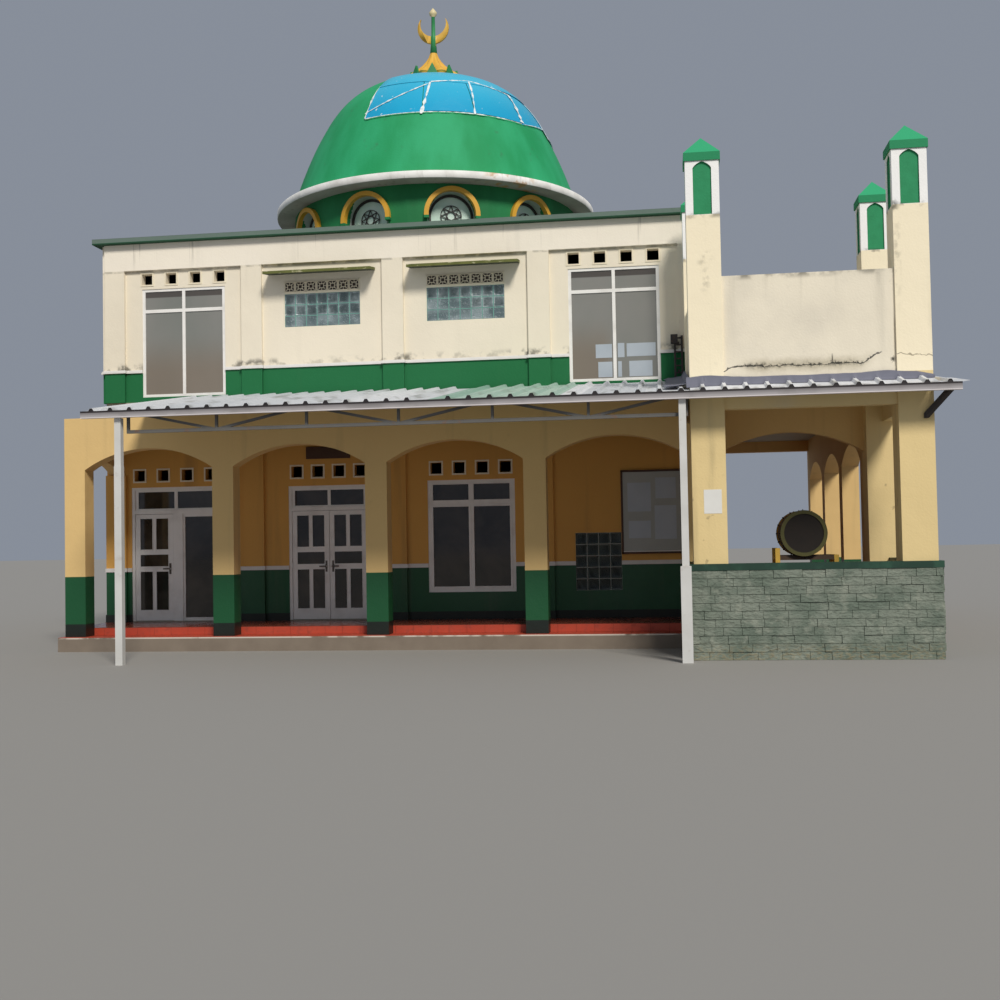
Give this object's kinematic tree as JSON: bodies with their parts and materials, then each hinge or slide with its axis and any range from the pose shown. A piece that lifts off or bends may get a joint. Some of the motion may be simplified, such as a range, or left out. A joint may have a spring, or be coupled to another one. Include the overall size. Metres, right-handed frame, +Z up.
{
  "type": "mosque building",
  "caption": "Two-storey neighbourhood mosque with a domed prayer hall, an arcaded veranda under a sheet canopy, and a corner porch with pinnacles.",
  "frame": {"origin": "on the ground below the middle of the dome, on the underside of the prayer hall's floor", "axes": "+Z up, +X to the right along the front as seen from outside, +Y from the front into the depth"},
  "size_m": [14.362, 13, 13.303],
  "materials": {
    "cream_plaster": "matt paint on plaster",
    "yellow_plaster": "matt paint on plaster",
    "ochre_plaster": "matt paint on plaster",
    "white_plaster": "stained white paint",
    "concrete": "weathered concrete",
    "red_tile": "satin",
    "stone_cladding": "split face",
    "roof_green": "weathered paint",
    "dome_green": "satin paint",
    "finial_yellow": "satin paint",
    "sheet_steel": "dull",
    "grey_steel": "dull paint",
    "white_frame": "satin paint",
    "glass": "clear",
    "board_grey": "matt",
    "drum_wood": "varnished",
    "blue_sheet": "satin",
    "dark_steel": "dull paint",
    "joint_mortar": "matt"
  },
  "bodies": {
    "building": {"hall_floor": "concrete", "veranda_floor": "red_tile", "gallery_floor": "red_tile", "front_wall_left_end": "ochre_plaster", "front_wall_between_doors": "ochre_plaster", "front_wall_right": "ochre_plaster", "side_door_lintel": "ochre_plaster", "main_door_lintel": "ochre_plaster", "left_wall_lower": "ochre_plaster", "right_wall_lower": "ochre_plaster", "back_wall_lower": "ochre_plaster", "lower_glass": "glass", "upper_floor": "concrete", "upper_front_wall": "cream_plaster", "upper_left_wall": "cream_plaster", "upper_right_wall": "cream_plaster", "upper_back_wall": "cream_plaster", "upper_glass": "glass", "awning_left": "concrete", "awning_right": "concrete", "roof_slab": "roof_green", "dome_drum": "dome_green", "drum_glazing": "glass", "dome_rim": "white_plaster", "dome_shell": "dome_green", "finial_skirt": "finial_yellow", "finial_mast": "dome_green", "arcade": "yellow_plaster", "veranda_end_arch": "yellow_plaster", "veranda_ceiling": "concrete", "canopy_sheets": "sheet_steel", "canopy_frame": "grey_steel", "canopy_fascia": "grey_steel", "canopy_strut": "grey_steel", "canopy_post_left": "grey_steel", "canopy_post_right": "grey_steel", "porch_pier_front_left": "yellow_plaster", "porch_pier_front_right": "yellow_plaster", "porch_pier_rear_left": "yellow_plaster", "porch_pier_rear_right": "yellow_plaster", "porch_middle_pier": "yellow_plaster", "porch_base_wall": "stone_cladding", "porch_upper_wall": "yellow_plaster", "porch_rear_arch": "yellow_plaster", "gallery_arcade": "yellow_plaster", "gallery_roof": "concrete", "main_door_frame": "white_frame", "side_door_frame": "white_frame", "front_window": "white_frame", "glass_block_panel": "glass", "glass_block_window_left": "glass", "glass_block_window_right": "glass", "tall_window_left": "white_frame", "tall_window_right": "white_frame", "notice_board": "board_grey", "calling_drum": "drum_wood", "drum_stand": "finial_yellow"},
    "main_leaf_left": {"main_door_left": "white_frame"},
    "main_leaf_right": {"main_door_right": "white_frame"},
    "side_leaf": {"side_door_leaf": "white_frame"}
  },
  "joints": [
    {"name": "main_left_hinge", "type": "hinge", "parent": "building", "child": "main_leaf_left", "pos_m": [-1.9187, -4.324, 1.3655], "axis": [0, 0, -1], "range_deg": [0, 90]},
    {"name": "main_right_hinge", "type": "hinge", "parent": "building", "child": "main_leaf_right", "pos_m": [-0.5553, -4.324, 1.3655], "axis": [0, 0, 1], "range_deg": [0, 90]},
    {"name": "side_hinge", "type": "hinge", "parent": "building", "child": "side_leaf", "pos_m": [-4.8967, -4.324, 1.3655], "axis": [0, 0, -1], "range_deg": [0, 90]}
  ]
}
